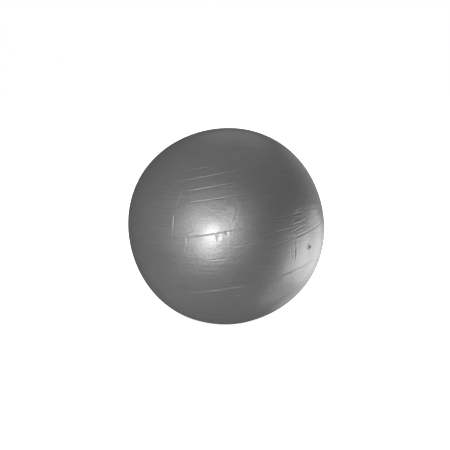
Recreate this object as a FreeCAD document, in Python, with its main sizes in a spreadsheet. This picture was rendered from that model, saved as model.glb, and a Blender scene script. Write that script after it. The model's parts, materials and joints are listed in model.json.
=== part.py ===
import FreeCAD, Part
import os
import Sketcher

# An inflated exercise ball, standing on a floor under its own weight.
# +Z is up and the origin is the centre of the round patch where the skin lies flat on the floor.
# The ball is a seamless PVC skin with a moulded valve seat welded into it, and an air plug
# pushed into the seat from outside. The valve axis is a radius of the ball.

SIZES = {
    # the inflated skin
    "ball_diameter": 650,
    "skin_wall": 0.9,
    "patch_radius": 34,  # the flat patch on the floor
    "knee_radius": 120,  # the tighter bend between the patch and the round of the ball
    # where the valve looks: azimuth from +X towards +Y, and elevation above the level, in degrees
    "valve_azimuth": -35.6,
    "valve_elevation": -7,
    "weld_gap": 0.05,  # between the skin and the seat, all round
    # the valve seat
    "pad_diameter": 24,
    "pad_height": 0.8,
    "pad_bevel": 0.5,
    "neck_diameter": 17,
    "flange_diameter": 40,
    "flange_edge": 0.8,
    "flange_root": 3,
    "spout_diameter": 12.6,
    "spout_length": 25,
    "bore_mouth": 9,
    "bore_end": 7,
    # the air plug
    "head_diameter": 12,
    "head_thickness": 1.6,
    "head_edge": 0.9,
    "head_dimple_diameter": 6,
    "head_dimple_depth": 0.5,
    "head_side_gap": 0.3,
    "head_floor_gap": 0.2,
    "stem_length": 21,
    "stem_gap": 0.05,
    "stem_tip": 1.4,
    "rib_count": 3,
    "rib_width": 2,
    "rib_height": 0.5,
}

doc = FreeCAD.newDocument("ExerciseBall")
sheet = doc.addObject("Spreadsheet::Sheet", "Sizes")
for row, (alias, number) in enumerate(SIZES.items(), 1):
    sheet.set(f"A{row}", alias)
    sheet.set(f"B{row}", str(number))
    sheet.setAlias(f"B{row}", alias)
doc.recompute()

# Lengths that follow from the sizes, as expressions
BALL = "Sizes.ball_diameter / 2"
AIR = f"({BALL} - Sizes.skin_wall)"
CENTRE_HEIGHT = (
    f"(Sizes.knee_radius + sqrt(pow({BALL} - Sizes.knee_radius; 2) - pow(Sizes.patch_radius; 2)))"
)
VALVE_AXIS = (
    f"placement(vector(0; 0; {CENTRE_HEIGHT});"
    " rotation(Sizes.valve_azimuth; 90 - Sizes.valve_elevation; 0))"
)


def value(expression):
    """The number that an expression has now."""
    return float(sheet.evalExpression(expression.replace("Sizes.", "")))


def origin_plane(body, role):
    return next(o for o in body.Origin.OriginFeatures if o.Role == role)


def attached_sketch(body, name, role):
    sketch = body.newObject("Sketcher::SketchObject", name)
    sketch.AttachmentSupport = (origin_plane(body, role), "")
    sketch.MapMode = "FlatFace"
    return sketch


def arc_between(start, end, radius):
    """The shorter arc from start to end. A positive radius bends left as it goes, a negative one right."""
    chord = end - start
    lift = (radius**2 - (chord.Length / 2) ** 2) ** 0.5
    sideways = FreeCAD.Vector(-chord.y, chord.x, 0).normalize()
    side = 1 if radius > 0 else -1
    centre = (start + end) / 2 + sideways * lift * side
    circle = Part.Circle(centre, FreeCAD.Vector(0, 0, 1), abs(radius))
    first, last = (start, end) if radius > 0 else (end, start)
    return Part.ArcOfCircle(circle, circle.parameter(first), circle.parameter(last))


def half_section(body, name, corners, bends=None):
    """A closed outline in the body's XZ plane, to turn about Z.

    Each corner is (radius, height), two expressions. bends gives the radius of each edge
    that is an arc, by the number of the corner that it leaves.
    """
    bends = bends or {}
    sketch = attached_sketch(body, name, "XZ_Plane")
    points = [FreeCAD.Vector(value(x), value(y), 0) for x, y in corners]
    edge_ends = []
    for n, start in enumerate(points):
        end = points[(n + 1) % len(points)]
        if n in bends:
            radius = value(bends[n])
            edge = sketch.addGeometry(arc_between(start, end, radius))
            edge_ends.append((edge, 1, 2) if radius > 0 else (edge, 2, 1))
            size = sketch.addConstraint(Sketcher.Constraint("Radius", edge, abs(radius)))
            sketch.setExpression(f"Constraints[{size}]", f"abs({bends[n]})")
        else:
            edge = sketch.addGeometry(Part.LineSegment(start, end))
            edge_ends.append((edge, 1, 2))
    for n, (edge, start, _) in enumerate(edge_ends):
        before, _, end_before = edge_ends[n - 1]
        sketch.addConstraint(Sketcher.Constraint("Coincident", before, end_before, edge, start))
        for direction, expression, on_axis in zip(("DistanceX", "DistanceY"), corners[n], (-2, -1)):
            if expression == "0":
                sketch.addConstraint(Sketcher.Constraint("PointOnObject", edge, start, on_axis))
                continue
            size = sketch.addConstraint(
                Sketcher.Constraint(direction, -1, 1, edge, start, value(expression))
            )
            sketch.setExpression(f"Constraints[{size}]", expression)
    return sketch


def turned(body, name, kind, sketch):
    """Turn a half section about the body's Z axis, adding (Revolution) or cutting (Groove)."""
    feature = body.newObject(f"PartDesign::{kind}", name)
    feature.Profile = sketch
    feature.ReferenceAxis = (sketch, ["V_Axis"])
    feature.Angle = 360
    return feature


def new_body(label):
    body = doc.addObject("PartDesign::Body", label)
    body.Label = label
    return body


def ball_section(body, name, inset):
    """The ball's half section, moved in from the outside of the skin by inset."""
    round_radius = f"({BALL} - {inset})"
    knee_radius = f"(Sizes.knee_radius - {inset})"
    # the knee's centre, seen from the ball's centre, fixes where the knee meets the round
    share = f"({round_radius} / ({BALL} - Sizes.knee_radius))"
    meet_radius = f"(Sizes.patch_radius * {share})"
    meet_height = f"({CENTRE_HEIGHT} - ({CENTRE_HEIGHT} - Sizes.knee_radius) * {share})"
    corners = [
        ("0", inset),
        ("Sizes.patch_radius", inset),
        (meet_radius, meet_height),
        ("0", f"({CENTRE_HEIGHT} + {round_radius})"),
    ]
    return half_section(body, name, corners, {1: knee_radius, 2: round_radius})


def make_ball_shell():
    """The blown PVC skin: one seamless wall round the air, flat on the floor, with the valve's hole."""
    body = new_body("ball_shell")
    turned(body, "SkinOutside", "Revolution", ball_section(body, "OutsideSection", "0"))
    turned(body, "AirSpace", "Groove", ball_section(body, "AirSection", "Sizes.skin_wall"))
    hole_sketch = attached_sketch(body, "ValveHoleCircle", "XY_Plane")
    hole_sketch.setExpression("AttachmentOffset", VALVE_AXIS)
    hole_radius = "Sizes.neck_diameter / 2 + Sizes.weld_gap"
    circle = Part.Circle(FreeCAD.Vector(), FreeCAD.Vector(0, 0, 1), value(hole_radius))
    edge = hole_sketch.addGeometry(circle)
    hole_sketch.addConstraint(Sketcher.Constraint("Coincident", edge, 3, -1, 1))
    size = hole_sketch.addConstraint(Sketcher.Constraint("Radius", edge, value(hole_radius)))
    hole_sketch.setExpression(f"Constraints[{size}]", hole_radius)
    hole = body.newObject("PartDesign::Pocket", "ValveHole")
    hole.Profile = hole_sketch
    hole.Reversed = True  # outwards, from the ball's centre
    hole.setExpression("Length", "Sizes.ball_diameter")
    return body


def on_sphere(radius, sphere):
    """The height above the ball's centre of a sphere's surface, at a radius from the valve axis."""
    return f"sqrt(pow({sphere}; 2) - pow({radius}; 2))"


def make_valve_seat():
    """The moulded seat, drawn from the ball's centre: pad outside the skin, flange inside, tapered spout."""
    body = new_body("valve_seat")
    body.setExpression("Placement", VALVE_AXIS)
    outside = f"({BALL} + Sizes.weld_gap)"
    inside = f"({AIR} - Sizes.weld_gap)"
    recess = "(Sizes.head_diameter / 2 + Sizes.head_side_gap)"
    recess_floor = f"({BALL} + Sizes.pad_height - Sizes.head_thickness - Sizes.head_floor_gap)"
    pad = "Sizes.pad_diameter / 2"
    neck = "Sizes.neck_diameter / 2"
    flange = "Sizes.flange_diameter / 2"
    spout = "Sizes.spout_diameter / 2"
    pad_top = f"({BALL} + Sizes.pad_height)"
    spout_end = f"({BALL} - Sizes.spout_length)"
    corners = [
        ("Sizes.bore_end / 2", spout_end),
        (spout, spout_end),
        (spout, f"({inside} - Sizes.flange_root)"),
        (flange, f"({on_sphere(flange, inside)} - Sizes.flange_edge)"),
        (flange, on_sphere(flange, inside)),
        (neck, on_sphere(neck, inside)),
        (neck, on_sphere(neck, outside)),
        (pad, on_sphere(pad, outside)),
        (f"({pad} - Sizes.pad_bevel)", pad_top),
        (recess, pad_top),
        (recess, recess_floor),
        ("Sizes.bore_mouth / 2", recess_floor),
    ]
    bends = {4: inside, 6: f"(-{outside})"}
    turned(body, "Moulding", "Revolution", half_section(body, "SeatSection", corners, bends))
    return body


def make_air_plug():
    """The push-in plug, drawn from the ball's centre: a dimpled head and a ribbed, tapered stem."""
    body = new_body("air_plug")
    body.setExpression("Placement", VALVE_AXIS)
    head_top = f"({BALL} + Sizes.pad_height)"
    head_floor = f"({head_top} - Sizes.head_thickness)"
    stem_end = f"({head_floor} - Sizes.stem_length)"
    bore_top = f"({head_floor} - Sizes.head_floor_gap)"
    bore_length = f"({bore_top} - {BALL} + Sizes.spout_length)"
    taper = f"((Sizes.bore_mouth - Sizes.bore_end) / 2 / {bore_length})"

    def stem_radius(height):
        """Just inside the seat's tapered bore."""
        return f"(Sizes.bore_mouth / 2 - Sizes.stem_gap - ({bore_top} - {height}) * {taper})"

    head = "Sizes.head_diameter / 2"
    dimple = "Sizes.head_dimple_diameter / 2"
    dimple_floor = f"({head_top} - Sizes.head_dimple_depth)"
    tip_start = f"({stem_end} + Sizes.stem_tip)"
    corners = [
        ("0", stem_end),
        (f"({stem_radius(tip_start)} - Sizes.stem_tip)", stem_end),
        (stem_radius(tip_start), tip_start),
        (stem_radius(head_floor), head_floor),
        (head, head_floor),
        (head, f"({head_floor} + Sizes.head_edge)"),
        (f"({head} - Sizes.head_thickness + Sizes.head_edge)", head_top),
        (dimple, head_top),
        (dimple, dimple_floor),
        ("0", dimple_floor),
    ]
    bends = {1: "Sizes.stem_tip"}
    turned(body, "PlugBlank", "Revolution", half_section(body, "PlugSection", corners, bends))

    # the ribs are what is left between the waists cut into the stem
    rib_count = int(value("Sizes.rib_count"))
    pitch = f"((Sizes.stem_length - Sizes.stem_tip - Sizes.rib_width) / {rib_count})"
    for n in range(rib_count):
        top = f"({head_floor} - Sizes.rib_width / 2 - {n} * {pitch})"
        bottom = f"({top} - {pitch} + Sizes.rib_width)"
        waist = f"({stem_radius(bottom)} - Sizes.rib_height)"
        corners = [
            (waist, f"({bottom} + Sizes.rib_height)"),
            (stem_radius(bottom), bottom),
            (f"({stem_radius(top)} + Sizes.rib_height)", bottom),
            (f"({stem_radius(top)} + Sizes.rib_height)", top),
            (stem_radius(top), top),
            (waist, f"({top} - Sizes.rib_height)"),
        ]
        turned(body, f"Waist{n + 1}", "Groove", half_section(body, f"WaistSection{n + 1}", corners))
    return body


BODIES = [make_ball_shell(), make_valve_seat(), make_air_plug()]
doc.recompute()

for item in doc.Objects:
    if "Invalid" in item.State or "Error" in item.State:
        raise RuntimeError(f"{item.Label} failed: {item.State}")
for body in BODIES:
    if body.Shape.isNull() or not body.Shape.isValid():
        raise RuntimeError(f"{body.Label} has no valid shape")
    features = [f for f in body.Group if f.isDerivedFrom("PartDesign::ProfileBased")]
    volumes = [feature.Shape.Volume for feature in features]
    if any(abs(a - b) < 1e-6 for a, b in zip(volumes, volumes[1:])):
        raise RuntimeError(f"{body.Label} has a feature that changes nothing")

os.makedirs("parts", exist_ok=True)
for body in BODIES:
    body.Shape.exportStep(f"parts/{body.Label}.step")
    box = body.Shape.BoundBox
    print(
        f"{body.Label}: {len(body.Shape.Solids)} solid, {body.Shape.Volume / 1000:.2f} cm3,"
        f" x {box.XMin:.2f}..{box.XMax:.2f} y {box.YMin:.2f}..{box.YMax:.2f} z {box.ZMin:.2f}..{box.ZMax:.2f}"
    )
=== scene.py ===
import cmath
import json
import math
import random

import bmesh
import bpy
from mathutils import Matrix, Vector


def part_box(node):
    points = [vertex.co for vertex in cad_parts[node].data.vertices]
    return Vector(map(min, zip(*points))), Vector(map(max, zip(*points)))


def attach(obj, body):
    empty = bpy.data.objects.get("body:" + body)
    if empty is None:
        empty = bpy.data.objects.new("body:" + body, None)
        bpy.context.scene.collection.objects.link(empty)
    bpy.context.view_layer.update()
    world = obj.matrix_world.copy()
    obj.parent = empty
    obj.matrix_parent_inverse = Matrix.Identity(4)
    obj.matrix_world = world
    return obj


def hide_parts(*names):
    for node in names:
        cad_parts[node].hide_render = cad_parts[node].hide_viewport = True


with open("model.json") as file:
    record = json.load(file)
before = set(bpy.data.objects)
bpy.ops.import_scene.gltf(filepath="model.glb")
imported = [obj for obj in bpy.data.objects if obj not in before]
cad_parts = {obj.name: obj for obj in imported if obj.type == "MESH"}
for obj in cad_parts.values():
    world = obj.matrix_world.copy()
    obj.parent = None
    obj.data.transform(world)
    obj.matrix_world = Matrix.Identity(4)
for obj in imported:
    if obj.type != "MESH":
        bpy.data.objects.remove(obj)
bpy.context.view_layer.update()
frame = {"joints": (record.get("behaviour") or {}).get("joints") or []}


# ------------------------------------------------------------------ ball skin
# The skin is one seamless piece of soft PVC, blown round in a mould and held round by air.
# It was folded flat in its box, so long shallow creases run round it and across it, and it is
# a little uneven. It stands on a small patch that its own weight flattens.

skin_low, skin_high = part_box("ball_shell")
ball_radius = (skin_high.x - skin_low.x) / 2
centre = Vector((0, 0, skin_high.z - ball_radius))
skin_wall = 0.0009
patch_radius = 0.034
sink = ball_radius - centre.z
knee_radius = (ball_radius**2 - patch_radius**2 - centre.z**2) / (2 * sink)
valve_axis = Vector(frame["joints"][0]["axis"]).normalized()
valve_hole_radius = 0.00855
valve_flange_radius = 0.02
swell_start = 0.0121  # the skin swells a little in a ring round the valve's pad
swell_top = (0.013, 0.014)
swell_end = 0.027
swell = 0.0003
unevenness = 0.0022


def on_ball(azimuth, elevation):
    """The point of the round skin, from the ball's centre, that lies in a direction in degrees."""
    turn, rise = math.radians(azimuth), math.radians(elevation)
    level = math.cos(rise)
    return ball_radius * Vector((level * math.cos(turn), level * math.sin(turn), math.sin(rise)))


def smooth_step(low, high, value):
    """0 up to the low value, 1 from the high one, and a smooth rise between them."""
    share = min(max((value - low) / (high - low), 0), 1)
    return share * share * (3 - 2 * share)


class Crease:
    """A shallow groove along the arc where a flat cut meets the ball. Sizes are in millimetres.

    A crease with a lift has skin that stands prouder on one side, on the other if it is negative."""

    def __init__(self, first, middle, last, depth, reach, lift=0):
        self.normal = (middle - first).cross(last - first).normalized()
        self.opening = self.normal.angle(first)
        self.depth, self.reach, self.lift = depth / 1000, reach / 1000, lift / 1000
        self.hub = self.normal * self.normal.dot(first)
        self.along = (first - self.hub).normalized()
        self.across = self.normal.cross(self.along)
        self.sweep = self.turn(last)
        self.middle = middle
        self.width = 0.04 if lift else 4 * self.reach
        self.span = max((first - middle).length, (last - middle).length) + self.width
        self.rows = [-1.9, -0.9, 0, 0.9, 1.9]
        if depth > 0.3:
            self.rows = [-2.4, -1.5, -0.9, -0.4, 0, 0.4, 0.9, 1.5, 2.4]
        if lift:
            self.rows += [math.copysign(row, lift) for row in (3.4, 4.6, 6, 8, 11, 15)]

    def turn(self, point):
        """How far round the arc a point lies, as an angle from the start."""
        spoke = point - self.hub
        return math.atan2(spoke.dot(self.across), spoke.dot(self.along))

    def aside(self, point):
        """How far to the side of the arc a point lies, along the skin."""
        return (self.normal.angle(point) - self.opening) * ball_radius

    def near(self, point, margin):
        """Whether a point lies by the crease, give or take a margin."""
        if (point - self.middle).length > self.span + margin:
            return False
        slack = margin / (ball_radius * math.sin(self.opening))
        near_arc = abs(self.aside(point)) < self.width + margin
        return near_arc and -slack < self.turn(point) < self.sweep + slack

    def rise(self, point):
        """How much the crease raises the skin at a point, and how strongly it is creased there."""
        aside = self.aside(point)
        share = self.turn(point) / self.sweep
        if abs(aside) > self.width or not 0 < share < 1:
            return 0, 0
        fade = math.sin(math.pi * share**0.75) ** 0.6
        squared = (aside / self.reach) ** 2
        groove = fade * math.exp(-squared)
        rise = -self.depth * groove * (1 - 0.7 * squared)
        if aside * self.lift > 0:
            proud = (1 - math.exp(-abs(aside) / 0.0015)) * math.exp(-abs(aside) / 0.014)
            proud *= 1 - smooth_step(0.75 * self.width, self.width, abs(aside))
            rise += abs(self.lift) * fade * proud
        return rise, groove


# Each crease starts, passes and ends in a direction from the ball's centre, as azimuth and
# elevation. Its depth, its reach to each side and its lift, if any, come last, in millimetres.
creases = []
for start, passing, end, *sizes in (
    # the long fold across the front, its faint run on, and the one that carries on to the right
    ((-77.4, 6.9), (-101, 3), (-126, -1.2), 0.8, 2),
    ((-76, 1.3), (-59, 4), (-42, 5.8), 0.5, 2.2),
    ((-14, 5.3), (-51, -0.8), (-70, -5.3), 0.5, 2.2, -0.35),
    ((-60, -0.9), (-54, -0.2), (-47, 1.2), 0.3, 1.6),
    ((-67.7, -4.5), (-62.3, -3.7), (-55.8, -2.3), 0.4, 2),
    ((-49.3, 3.7), (-44.9, 4.5), (-38.9, 6.1), 0.55, 2),
    # the set of parallel folds above it
    ((-118, 38.4), (-107, 40.8), (-98, 42.3), 0.9, 2.2),
    ((-125, 30.7), (-103, 35.4), (-65.7, 41.6), 0.85, 2.2),
    ((-114, 26.2), (-101, 28.7), (-84, 31.7), 0.8, 2.2),
    ((-111, 20.1), (-100, 21.8), (-79.7, 25.1), 0.5, 2.2),
    # the folds below it
    ((-100.2, -10.9), (-94.2, -10.1), (-87.7, -8.8), 0.38, 2.2),
    ((-99.2, -12.5), (-95.3, -12.1), (-91.5, -11.5), 0.3, 1.6),
    ((-114, -32), (-95, -29), (-70, -25), 1, 2.4),
    ((-92.5, -34.6), (-82, -33.2), (-70, -31.2), 0.6, 2.2),
    ((-66, -24.6), (-46, -19.8), (-17.7, -14.5), 0.9, 2.2, 0.3),
    # the folds that run down the ball, left and right
    ((-117, 26.5), (-118, 21.6), (-118.3, 16.6), 0.65, 2.2),
    ((-119.5, 13.8), (-119.6, 7.3), (-120, 1.3), 0.75, 2.4),
    ((-111, -0.3), (-112, -4.8), (-114, -10), 0.4, 2.4),
    ((-114, -9.4), (-115, -14.7), (-116, -20), 0.3, 2.2),
    ((-47.5, -13.9), (-48, -7.6), (-48.8, -1.6), 0.6, 2, 0.5),
    ((-52.3, -4.9), (-50.9, -9), (-48.4, -13), 0.45, 2),
    ((-49, -20), (-47, -24), (-45.5, -27.7), 0.5, 2.2),
    # short kinks beside the long fold, where the skin was pinched as it was folded
    ((-113.7, 2.4), (-110, 4.4), (-106, 5.5), 0.6, 2),
    ((-82.8, 17.3), (-84.6, 13), (-86.9, 7.7), 0.4, 2.4),
    ((-94.6, 4), (-95.1, 1.9), (-93.9, -0.4), 0.8, 1.7),
    # faint folds towards the upper right
    ((-75, 45.7), (-70, 43.7), (-64, 42), 0.4, 2.4),
    ((-65, 11.2), (-58.5, 11.3), (-50, 12.3), 0.4, 2.2),
    ((-53, 12), (-44.8, 13), (-34.7, 14.2), 0.3, 2.2),
    ((-52.2, 6.5), (-44, 7.8), (-34, 9.9), 0.45, 2.2),
    ((-48.2, 13.8), (-44.4, 14.4), (-40.6, 15.1), 0.6, 2),
    ((-44.5, 12.3), (-43.2, 10.5), (-41.3, 8.6), 0.4, 1.8),
    ((-43.3, 7.7), (-41.7, 6.2), (-39.6, 4.3), 0.4, 1.8),
):
    creases.append(Crease(on_ball(*start), on_ball(*passing), on_ball(*end), *sizes))

fold_axis = Vector((-0.156, -0.03, 0.987))
chance = random.Random(65)


def add_fold(azimuth, elevation, axis, sweep, depth, reach):
    """Add a crease on a circle round an axis, with its middle in the given direction."""
    middle = on_ball(azimuth, elevation)
    half = Matrix.Rotation(math.radians(sweep / 2), 3, axis)
    first, last = half.inverted() @ middle, half @ middle
    if min((valve_axis * ball_radius - point).length for point in (first, middle, last)) > 0.07:
        creases.append(Crease(first, middle, last, depth, reach))


def leaning(axis, most):
    """The axis, leant by chance."""
    return (axis + Vector([chance.uniform(-most, most) for side in range(3)])).normalized()


# the far sides carry folds of the same kind: nearly level ones, and a few that run down the ball
for number in range(24):
    azimuth, elevation = chance.uniform(15, 165), chance.uniform(-50, 70)
    sweep, depth = chance.uniform(12, 50), chance.uniform(0.35, 0.8)
    add_fold(azimuth, elevation, leaning(fold_axis, 0.08), sweep, depth, 2.3)
for number in range(9):
    azimuth, elevation = chance.uniform(10, 170), chance.uniform(-35, 50)
    level_axis = on_ball(azimuth - 90, 0).normalized()
    add_fold(azimuth, elevation, leaning(level_axis, 0.15), chance.uniform(6, 16), 0.5, 2.3)
# faint folds all over
for number in range(80):
    azimuth, elevation = chance.uniform(-180, 180), chance.uniform(-58, 72)
    sweep, depth = chance.uniform(6, 24), chance.uniform(0.25, 0.5)
    add_fold(azimuth, elevation, leaning(fold_axis, 0.05), sweep, depth, 2.2)
# a shoulder of fine ones, where the ball was rolled up
for number in range(16):
    azimuth, elevation = chance.uniform(-82, -38), chance.uniform(24, 56)
    sweep, depth = chance.uniform(8, 20), chance.uniform(0.4, 0.65)
    add_fold(azimuth, elevation, leaning(fold_axis, 0.14), sweep, depth, 2.2)

# small round dents, left where the skin was pinched: azimuth, elevation, radius and depth in millimetres
dents = []
for azimuth, elevation, radius, depth in (
    (-93.8, 1.7, 11, 0.5),
    (-89.6, 4.3, 8, 1.1),
    (-111.2, 0.6, 6, 0.6),
    (-106.6, 1.7, 6, 0.6),
    (-110.3, -6.9, 6, 0.4),
    (-106.2, -6.1, 6, 0.4),
    (-87.6, 15.2, 18, 0.35),
    (-46.5, 10.2, 7, 0.6),
    (-42.6, 9.6, 6, 0.6),
    (-43.8, 7.3, 6, 0.6),
    (-40.5, 7.6, 7, 0.5),
    (-48.5, 6.2, 7, 0.4),
    (-35.6, 7.5, 7, 0.4),
):
    dents.append((on_ball(azimuth, elevation), radius / 1000, depth / 1000))

skin_mesh = bmesh.new()
bmesh.ops.create_icosphere(skin_mesh, subdivisions=6, radius=ball_radius)

# rows of edges are cut along each crease, so that its sides have faces of their own
for crease in creases:
    faces = [f for f in skin_mesh.faces if crease.near(f.calc_center_median(), 0.009)]
    edges = {e for f in faces for e in f.edges}
    verts = {v for f in faces for v in f.verts}
    geometry = [*verts, *edges, *faces]
    for row in crease.rows:
        opening = crease.opening + row * crease.reach / ball_radius
        cut_place = crease.normal * ball_radius * math.cos(opening)
        cut = bmesh.ops.bisect_plane(
            skin_mesh, geom=geometry, dist=1e-5, plane_co=cut_place, plane_no=crease.normal
        )
        geometry = cut["geom"]


def cut_ring(mesh, axis, ring_radius, clear=False):
    """Cut a ring of edges round an axis through the ball's centre, and clear what it holds."""
    bmesh.ops.bisect_plane(
        mesh,
        geom=[*mesh.verts, *mesh.edges, *mesh.faces],
        dist=1e-5,
        plane_co=axis * math.sqrt(ball_radius**2 - ring_radius**2),
        plane_no=axis,
        clear_outer=clear,
    )


# rings of edges are cut across each dent
for place, radius, depth in dents:
    for share in (1.1, 0.85, 0.65, 0.45, 0.25):
        cut_ring(skin_mesh, place.normalized(), radius * share)

# the faces round the valve are halved four times, so that its rings and its hole come out round
for reach in (0.05, 0.038, 0.028, 0.017):
    near_valve = {v for v in skin_mesh.verts if (v.co - valve_axis * ball_radius).length < reach}
    edges = [e for e in skin_mesh.edges if near_valve.issuperset(e.verts)]
    bmesh.ops.subdivide_edges(skin_mesh, edges=edges, cuts=1, use_grid_fill=True)
    for vertex in skin_mesh.verts:
        if (vertex.co - valve_axis * ball_radius).length < reach:
            vertex.co = vertex.co.normalized() * ball_radius
    bmesh.ops.triangulate(skin_mesh, faces=[f for f in skin_mesh.faces if len(f.verts) > 3])
for ring_radius in (swell_end, 0.021, *reversed(swell_top), swell_start):
    cut_ring(skin_mesh, valve_axis, ring_radius)
cut_ring(skin_mesh, valve_axis, valve_hole_radius, clear=True)
bmesh.ops.triangulate(skin_mesh, faces=[f for f in skin_mesh.faces if len(f.verts) > 3])


def shape_of_skin(point):
    """Where the finished skin lies for a point of the round ball, and how creased it is there."""
    way = point.normalized()
    from_valve = (way - valve_axis * way.dot(valve_axis)).length * ball_radius
    if way.dot(valve_axis) < 0:
        from_valve = ball_radius
    settled = smooth_step(valve_flange_radius, 0.09, from_valve)
    if way.z < 0:
        settled *= smooth_step(patch_radius, 0.16, math.hypot(way.x, way.y) * ball_radius)
    # four soft lobes round the level axis that looks along Y, and three round the upright axis
    lobes = (complex(way.x, way.z) ** 4 * cmath.exp(-1j * math.radians(240))).real
    lobes += 0.5 * (complex(way.x, way.y) ** 3 * cmath.exp(-1j * math.radians(40))).real
    rise = unevenness * lobes * settled
    swelling = smooth_step(swell_start, swell_top[0], from_valve)
    swelling *= 1 - smooth_step(swell_top[1], swell_end, from_valve)
    rise += swell * swelling
    # how much paler the colour is made along the creases: partly stress whitening, partly a painted
    # highlight on the groove walls
    crease_whitening_and_highlight = 0
    for crease in creases:
        if (point - crease.middle).length > crease.span:
            continue
        crease_rise, groove = crease.rise(point)
        rise += crease_rise
        crease_whitening_and_highlight = max(crease_whitening_and_highlight, groove * crease.depth / 0.0007)
    for dent, radius, depth in dents:
        share = (point - dent).length / radius
        if share < 1:
            rise -= depth * (1 - share * share) ** 2
    place = centre + way * (ball_radius + rise)
    from_axis = math.hypot(place.x, place.y)
    if place.z < centre.z:
        if from_axis < patch_radius:
            place.z = 0
        elif from_axis < patch_radius * ball_radius / (ball_radius - knee_radius):
            place.z = knee_radius - math.sqrt(knee_radius**2 - (from_axis - patch_radius) ** 2)
    return place, min(crease_whitening_and_highlight, 1)


# the crease mask kept on the skin pales its colour: partly stress whitening, partly a painted highlight
# along the creases
crease_whitening_and_highlight_layer = skin_mesh.verts.layers.float.new("crease_whitening_and_highlight")
for vertex in skin_mesh.verts:
    vertex.co, vertex[crease_whitening_and_highlight_layer] = shape_of_skin(vertex.co)
for face in skin_mesh.faces:
    face.smooth = True
bmesh.ops.solidify(skin_mesh, geom=skin_mesh.faces[:], thickness=skin_wall)
# both rims of the hole are trimmed to one radius
for vertex in skin_mesh.verts:
    height = valve_axis.dot(vertex.co - centre)
    aside = vertex.co - centre - valve_axis * height
    if height > 0 and aside.length < valve_hole_radius + 0.0001:
        vertex.co += aside.normalized() * (valve_hole_radius - aside.length)


def piece_from(mesh, name):
    """Turn a finished bmesh into an object that lies where it was drawn."""
    data = bpy.data.meshes.new(name)
    mesh.to_mesh(data)
    mesh.free()
    piece = bpy.data.objects.new(name, data)
    bpy.context.scene.collection.objects.link(piece)
    return piece


skin = piece_from(skin_mesh, "creased_skin")


class Wire:
    """One output of a shader node. A sum written with wires adds the Math nodes that work it out."""

    def __init__(self, tree, socket):
        self.tree = tree
        self.socket = socket

    def node(self, kind, settings, inputs, output=0):
        """Make any node: its settings are set first, then the values or wires of its inputs."""
        made = self.tree.nodes.new(kind)
        for name, setting in settings.items():
            setattr(made, name, setting)
        for name, given in inputs.items():
            if isinstance(given, Wire):
                self.tree.links.new(given.socket, made.inputs[name])
            else:
                made.inputs[name].default_value = given
        return Wire(self.tree, made.outputs[output])

    def maths(self, operation, first, second):
        return self.node("ShaderNodeMath", {"operation": operation}, {0: first, 1: second})

    def __add__(self, other):
        return self.maths("ADD", self, other)

    def __radd__(self, other):
        return self.maths("ADD", other, self)

    def __sub__(self, other):
        return self.maths("SUBTRACT", self, other)

    def __rsub__(self, other):
        return self.maths("SUBTRACT", other, self)

    def __mul__(self, other):
        return self.maths("MULTIPLY", self, other)

    def __rmul__(self, other):
        return self.maths("MULTIPLY", other, self)

    def mix(self, first, second):
        """A colour between two, by this wire."""
        return self.node(
            "ShaderNodeMix", {"data_type": "RGBA"}, {"Factor": self, 6: first, 7: second}, output=2
        )

    def noise(self, scale, detail=2, roughness=0.5, distortion=0):
        """Noise of a scale per metre on this vector, from 0 to 1."""
        inputs = {"Vector": self, "Scale": scale, "Detail": detail, "Roughness": roughness}
        inputs["Distortion"] = distortion
        return self.node("ShaderNodeTexNoise", {}, inputs)


def new_material(name):
    """An empty material: its shader, and a wire that holds the Object coordinates."""
    material = bpy.data.materials.new(name)
    material.use_nodes = True
    tree = material.node_tree
    shader = tree.nodes["Principled BSDF"]
    place = Wire(tree, tree.nodes.new("ShaderNodeTexCoord").outputs["Object"])
    return material, shader, place


def connect(wire, shader, socket):
    """Feed a shader's socket from a wire."""
    wire.tree.links.new(wire.socket, shader.inputs[socket])


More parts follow.
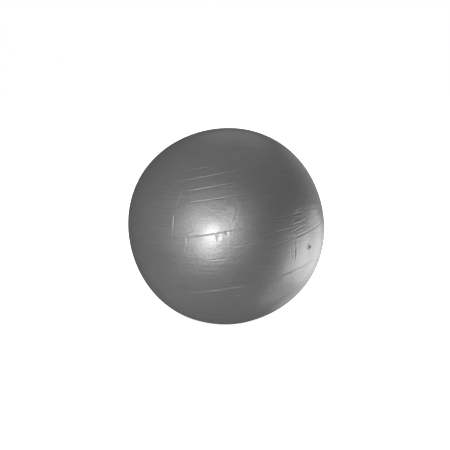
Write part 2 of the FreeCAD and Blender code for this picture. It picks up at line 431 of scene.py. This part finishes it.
def soft_pvc(name, grey, streaking):
    """Satin PVC: faint clouds in the colour, fine grain, drawn-out scuffs, and creases painted paler,
    partly as stress whitening and partly as a painted highlight along them.
    """
    material, shader, place = new_material(name)
    shader.inputs["Specular IOR Level"].default_value = 0.5
    shader.inputs["Coat Weight"].default_value = 0.25
    shader.inputs["Coat Roughness"].default_value = 0.22
    # the crease mask: it pales the colour along the creases, partly as stress whitening and partly as a
    # painted highlight
    crease_whitening_and_highlight = place.node("ShaderNodeAttribute", {"attribute_name": "crease_whitening_and_highlight"}, {}, output=2)
    folded = place.node(
        "ShaderNodeMapping", {}, {"Vector": place, "Rotation": (0, 0.14, 0), "Scale": (1, 1, 22)}
    )
    clouds = place.noise(9, detail=3)
    grain = place.noise(420, detail=3)
    pebble = place.noise(150, detail=2, distortion=0.3)
    mottle = place.noise(60, detail=3, distortion=0.2)
    streaks = folded.noise(9, detail=4, roughness=0.6)
    # the streaks run round the ball, and fade towards its top and bottom
    height = place.node("ShaderNodeSeparateXYZ", {}, {"Vector": place}, output=2)
    share = (height - centre.z) * (1 / ball_radius)
    fading = (1 - share * share) * streaking
    dark = (grey * 0.9, grey * 0.9, grey * 0.9, 1)
    light = (grey * 1.1, grey * 1.1, grey * 1.1, 1)
    whitening_and_highlight_colour = (grey * 1.5, grey * 1.5, grey * 1.5, 1)
    tone = 0.1 + clouds * 0.8 + (streaks - 0.5) * (fading * 2)
    # the creases are mixed towards a paler grey: partly stress whitening, partly a painted highlight
    # where light would catch the groove walls
    connect((crease_whitening_and_highlight * 0.25).mix(tone.mix(dark, light), whitening_and_highlight_colour), shader, "Base Color")
    roughness = 0.42 + clouds * 0.04 + streaks * 0.06 + crease_whitening_and_highlight * 0.05
    surface = grain * 0.06 + pebble * 0.2 + mottle * 0.3 + streaks * (fading * 0.25)
    relief = place.node("ShaderNodeBump", {}, {"Height": surface, "Strength": 1, "Distance": 0.0028})
    connect(roughness, shader, "Roughness")
    connect(relief, shader, "Normal")
    return material


ball_grey = 0.135
skin.data.materials.append(soft_pvc("skin_pvc", ball_grey, 1))
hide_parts("ball_shell")
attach(skin, "ball")


# ------------------------------------------------------------------ valve seat
# The seat is a thick ring of the same PVC, moulded apart and welded into the skin's hole.
# Its pad shows outside, and its flange and tapered spout are inside the ball.

weld_gap = 0.00005
pad_radius = 0.012
pad_bevel = 0.0005
pad_middle = 0.0103
pad_top = ball_radius + 0.0008
neck_radius = 0.0085
flange_edge = 0.0008
flange_middle = 0.014
flange_root = 0.003
spout_radius = 0.0063
spout_end = ball_radius - 0.025
bore_mouth = 0.0045
bore_end = 0.0035
head_radius = 0.006
head_floor = pad_top - 0.0016
head_side_gap = 0.0003
head_floor_gap = 0.0002
recess_radius = head_radius + head_side_gap
recess_floor = head_floor - head_floor_gap


def on_dome(radius, dome):
    """A corner at a radius from the valve's axis, on a dome round the ball's centre."""
    return radius, math.sqrt(dome**2 - radius**2)


def turned(name, corners, rounding):
    """A piece turned round the valve's axis from its half section: radii and heights in a loop."""
    mesh = bmesh.new()
    chain = [mesh.verts.new((radius, 0, height)) for radius, height in corners]
    loop = [mesh.edges.new(pair) for pair in zip(chain, chain[1:] + chain[:1])]
    bmesh.ops.spin(mesh, geom=[*chain, *loop], axis=(0, 0, 1), angle=math.tau, steps=96)
    bmesh.ops.remove_doubles(mesh, verts=mesh.verts[:], dist=1e-6)
    on_axis = [f for f in mesh.faces if max(math.hypot(v.co.x, v.co.y) for v in f.verts) < 1e-5]
    bmesh.ops.delete(mesh, geom=on_axis, context="FACES")
    bmesh.ops.delete(mesh, geom=[e for e in mesh.edges if e.is_wire], context="EDGES")
    bmesh.ops.recalc_face_normals(mesh, faces=mesh.faces[:])
    rims = [e for e in mesh.edges if e.is_manifold and e.is_convex and e.calc_face_angle() > 0.4]
    bmesh.ops.bevel(
        mesh, geom=rims, offset=rounding, segments=3, profile=0.5, affect="EDGES", material=-1
    )
    for face in mesh.faces:
        face.smooth = True
    for edge in mesh.edges:
        edge.smooth = not edge.is_manifold or edge.calc_face_angle() < 0.15
    turn = valve_axis.to_track_quat("Z", "Y").to_matrix().to_4x4()
    bmesh.ops.transform(mesh, matrix=Matrix.Translation(centre) @ turn, verts=mesh.verts[:])
    return piece_from(mesh, name)


inner_dome = ball_radius - skin_wall - weld_gap
outer_dome = ball_radius + weld_gap
seat = turned(
    "welded_seat",
    [
        (bore_end, spout_end),
        (spout_radius, spout_end),
        (spout_radius, inner_dome - flange_root),
        (valve_flange_radius, on_dome(valve_flange_radius, inner_dome)[1] - flange_edge),
        on_dome(valve_flange_radius, inner_dome),
        on_dome(flange_middle, inner_dome),
        on_dome(neck_radius, inner_dome),
        on_dome(neck_radius, outer_dome),
        on_dome(pad_middle, outer_dome),
        on_dome(pad_radius, outer_dome),
        (pad_radius - pad_bevel, pad_top),
        (recess_radius, pad_top),
        (recess_radius, recess_floor),
        (bore_mouth, recess_floor),
    ],
    0.00018,
)
seat.data.materials.append(soft_pvc("seat_pvc", ball_grey, 0))
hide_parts("valve_seat")
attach(seat, "ball")


# ------------------------------------------------------------------ air plug
# The plug is turned from harder, darker PVC in one mould, with a dimple in its head from the gate.
# It is pushed into the seat by hand and held by its three ribs.

stem_length = 0.021
stem_end = head_floor - stem_length
stem_tip = 0.0014
head_edge = 0.0009
head_bevel = 0.0007
dimple_radius = 0.003
dimple_depth = 0.0005
rib_width = 0.002
rib_height = 0.0005


def stem_radius(height):
    """The stem's radius at a height, just inside the tapered bore."""
    share = (recess_floor - height) / (recess_floor - spout_end)
    return bore_mouth - weld_gap - (bore_mouth - bore_end) * share


# the rounded tip, then the three ribs from the tip up, and then the head
half_section = [(0, stem_end)]
tip_height = stem_end + stem_tip
tip_radius = stem_radius(tip_height) - stem_tip
for angle in [math.radians(22.5 * step) for step in range(5)]:
    corner = tip_radius + stem_tip * math.sin(angle), tip_height - stem_tip * math.cos(angle)
    half_section.append(corner)
pitch = (stem_length - stem_tip - rib_width) / 3
for rib in (2, 1, 0):
    waist_top = head_floor - rib_width / 2 - rib * pitch
    waist_end = waist_top - pitch + rib_width
    waist = stem_radius(waist_end) - rib_height
    half_section += [
        (stem_radius(waist_end), waist_end),
        (waist, waist_end + rib_height),
        (waist, waist_top - rib_height),
        (stem_radius(waist_top), waist_top),
    ]
half_section += [
    (stem_radius(head_floor), head_floor),
    (head_radius, head_floor),
    (head_radius, head_floor + head_edge),
    (head_radius - head_bevel, pad_top),
    (dimple_radius, pad_top),
    (dimple_radius, pad_top - dimple_depth),
    (0, pad_top - dimple_depth),
]
plug = turned("push_plug", half_section, 0.00015)
plug_material, plug_shader, plug_place = new_material("plug_pvc")
plug_clouds = plug_place.noise(300, detail=3)
connect(plug_clouds.mix((0.06, 0.06, 0.062, 1), (0.09, 0.09, 0.093, 1)), plug_shader, "Base Color")
connect(0.55 + plug_clouds * 0.15, plug_shader, "Roughness")
plug_shader.inputs["Specular IOR Level"].default_value = 0.2
plug_relief = plug_place.node(
    "ShaderNodeBump", {}, {"Height": plug_place.noise(2500), "Strength": 0.4, "Distance": 0.0001}
)
connect(plug_relief, plug_shader, "Normal")
plug.data.materials.append(plug_material)
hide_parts("air_plug")
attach(plug, "plug")


# ------------------------------------------------------------------ floor
# A plain pale studio floor and a white backdrop all round. Only the camera sees them: the floor
# glows a little, so that it stays white, and the light on the ball comes from the tent and boxes.

floor_mesh = bmesh.new()
bmesh.ops.create_circle(floor_mesh, cap_ends=True, segments=96, radius=40)
floor = piece_from(floor_mesh, "studio_floor")
floor_material, floor_shader, floor_place = new_material("pale_floor")
floor_dust = floor_place.noise(3)
connect(floor_dust.mix((0.93, 0.93, 0.93, 1), (0.95, 0.95, 0.95, 1)), floor_shader, "Base Color")
floor_shader.inputs["Roughness"].default_value = 0.9
floor_shader.inputs["Specular IOR Level"].default_value = 0
floor_shader.inputs["Emission Color"].default_value = (1, 1, 1, 1)
floor_shader.inputs["Emission Strength"].default_value = 0.85
floor.data.materials.append(floor_material)
floor.visible_diffuse = False
floor.visible_glossy = False
floor.visible_shadow = False

backdrop_mesh = bmesh.new()
bmesh.ops.create_uvsphere(backdrop_mesh, u_segments=48, v_segments=24, radius=39)
backdrop = piece_from(backdrop_mesh, "backdrop")
backdrop_material, backdrop_shader, _ = new_material("backdrop_white")
backdrop_shader.inputs["Base Color"].default_value = (0, 0, 0, 1)
backdrop_shader.inputs["Specular IOR Level"].default_value = 0
backdrop_shader.inputs["Emission Color"].default_value = (1, 1, 1, 1)
backdrop_shader.inputs["Emission Strength"].default_value = 1
backdrop.data.materials.append(backdrop_material)
backdrop.visible_diffuse = False
backdrop.visible_glossy = False
backdrop.visible_shadow = False


# ------------------------------------------------------------------ light
# A white tent gives soft light, most of it from above and below. The glossy patches on the ball are
# soft boxes: a small bright one within wider ones, left of the camera, and a bank behind on the right.

tent = bpy.data.worlds.new("white_tent")
bpy.context.scene.world = tent
tent.use_nodes = True
tent_light = tent.node_tree.nodes["Background"]
tent_way = Wire(tent.node_tree, tent.node_tree.nodes.new("ShaderNodeTexCoord").outputs["Generated"])
upward = tent_way.node("ShaderNodeSeparateXYZ", {}, {"Vector": tent_way}, output=2)
tent_light.inputs["Color"].default_value = (1, 1, 1, 1)
connect(0.21 + upward * upward * (1.3 + upward * 0.24), tent_light, "Strength")
tent.cycles_visibility.glossy = False

camera_rise = math.radians(8)  # above the ball's middle
towards_camera = Vector((0, -math.cos(camera_rise), math.sin(camera_rise)))
camera_right = Vector((1, 0, 0))
camera_up = camera_right.cross(-towards_camera)


def soft_box(name, right, up, distance, width, height, power):
    """A light that looks at the ball. right and up are in degrees, from the camera's side of it."""
    light = bpy.data.lights.new(name, "AREA")
    light.shape = "ELLIPSE"
    light.size = width
    light.size_y = height
    light.energy = power
    box = bpy.data.objects.new(name, light)
    bpy.context.scene.collection.objects.link(box)
    level = towards_camera * math.cos(math.radians(right)) + camera_right * math.sin(math.radians(right))
    way = level * math.cos(math.radians(up)) + camera_up * math.sin(math.radians(up))
    box.location = centre + way * distance
    box.rotation_euler = way.to_track_quat("Z", "Y").to_euler()
    box.visible_camera = False
    return box


for gloss_box in (
    soft_box("key_box", -14, -8, 3, 0.95, 0.95, 112),
    soft_box("wide_box", -17, -7, 3, 2, 1.8, 42),
    soft_box("left_box", -38, 0, 3, 1.7, 2.1, 35),
    soft_box("upper_box", -26, 14, 3, 1.5, 1.3, 15.5),
    soft_box("under_box", -20, -24, 3, 1.4, 1, 47),
    soft_box("right_box", 5, 2, 3, 1, 1.8, 40),
    soft_box("side_box", 92, -22, 1.6, 0.9, 1.2, 17.5),
    soft_box("low_box", 115, -13, 1.6, 1.3, 1.4, 15.5),
    soft_box("deep_box", 108, -50, 1.6, 0.9, 0.8, 3),
    soft_box("back_box", 142, -20, 1.6, 1, 1.3, 3.6),
    soft_box("rim_box", 134, 23, 2, 1.4, 1.3, 2),
    soft_box("rear_box", 159, 14, 2, 1.1, 1.1, 1),
    soft_box("top_box", 170, 60, 2, 1.4, 1.2, 1.8),
):
    gloss_box.visible_diffuse = False
fill_box = soft_box("fill_box", -45, -25, 3, 1.5, 1.5, 38)
fill_box.visible_glossy = False


# ------------------------------------------------------------------ camera
# A long lens, a little above the ball's middle, that looks at the ball from the front.

lens = bpy.data.cameras.new("camera")
lens.lens = 85
lens.sensor_width = 36
camera = bpy.data.objects.new("camera", lens)
bpy.context.scene.collection.objects.link(camera)
camera_distance = 3.518
aim = centre + camera_right * -0.0032 + camera_up * 0.0034
camera.location = centre + towards_camera * camera_distance
camera.rotation_euler = (camera.location - aim).to_track_quat("Z", "Y").to_euler()
bpy.context.scene.camera = camera
bpy.context.scene.view_settings.view_transform = "Standard"
